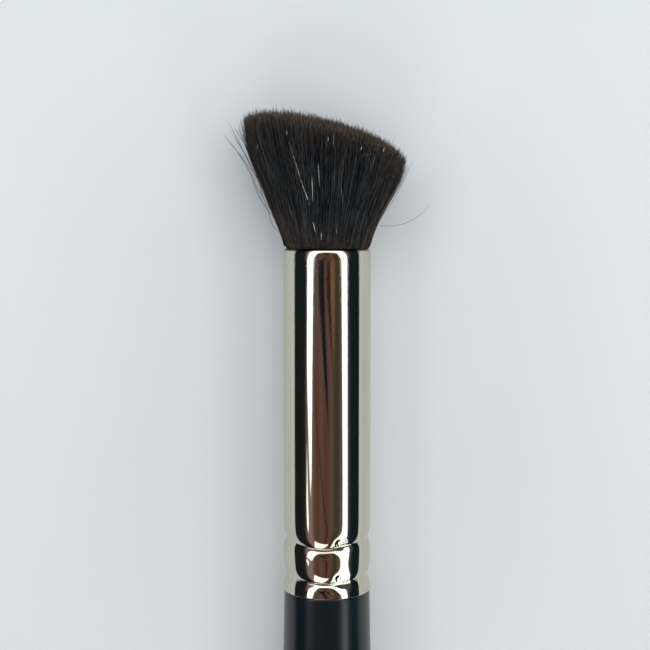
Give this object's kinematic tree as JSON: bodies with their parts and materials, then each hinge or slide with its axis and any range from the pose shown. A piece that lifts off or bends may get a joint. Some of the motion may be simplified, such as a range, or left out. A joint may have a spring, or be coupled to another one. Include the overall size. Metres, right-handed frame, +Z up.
{
  "type": "angled contour brush",
  "caption": "Hand brush for face powder: slanted, fanned hair head in a crimped plated tube on a turned, lacquered wooden handle.",
  "frame": {"origin": "on the table, below the brush's axis and under the middle of its length", "axes": "+Y along the brush's axis from the butt to the hair tips, +Z up from the table it lies on, +X to the right, towards the short side of the slanted head"},
  "size_m": [0.0226, 0.1804, 0.0138],
  "materials": {
    "hair": "brown-black natural hair, soft sheen, olive-brown at the cut tips",
    "thread": "waxed natural thread",
    "resin": "cured amber resin",
    "plated_tube": "polished nickel plate with light handling marks",
    "adhesive": "cured off-white adhesive",
    "lacquered_wood": "black satin-gloss lacquer on turned wood"
  },
  "bodies": {
    "root": {"hair_tuft": "hair", "root_tie": "thread", "root_glue": "resin", "ferrule": "plated_tube", "tenon_glue": "adhesive", "handle": "lacquered_wood"}
  },
  "joints": []
}
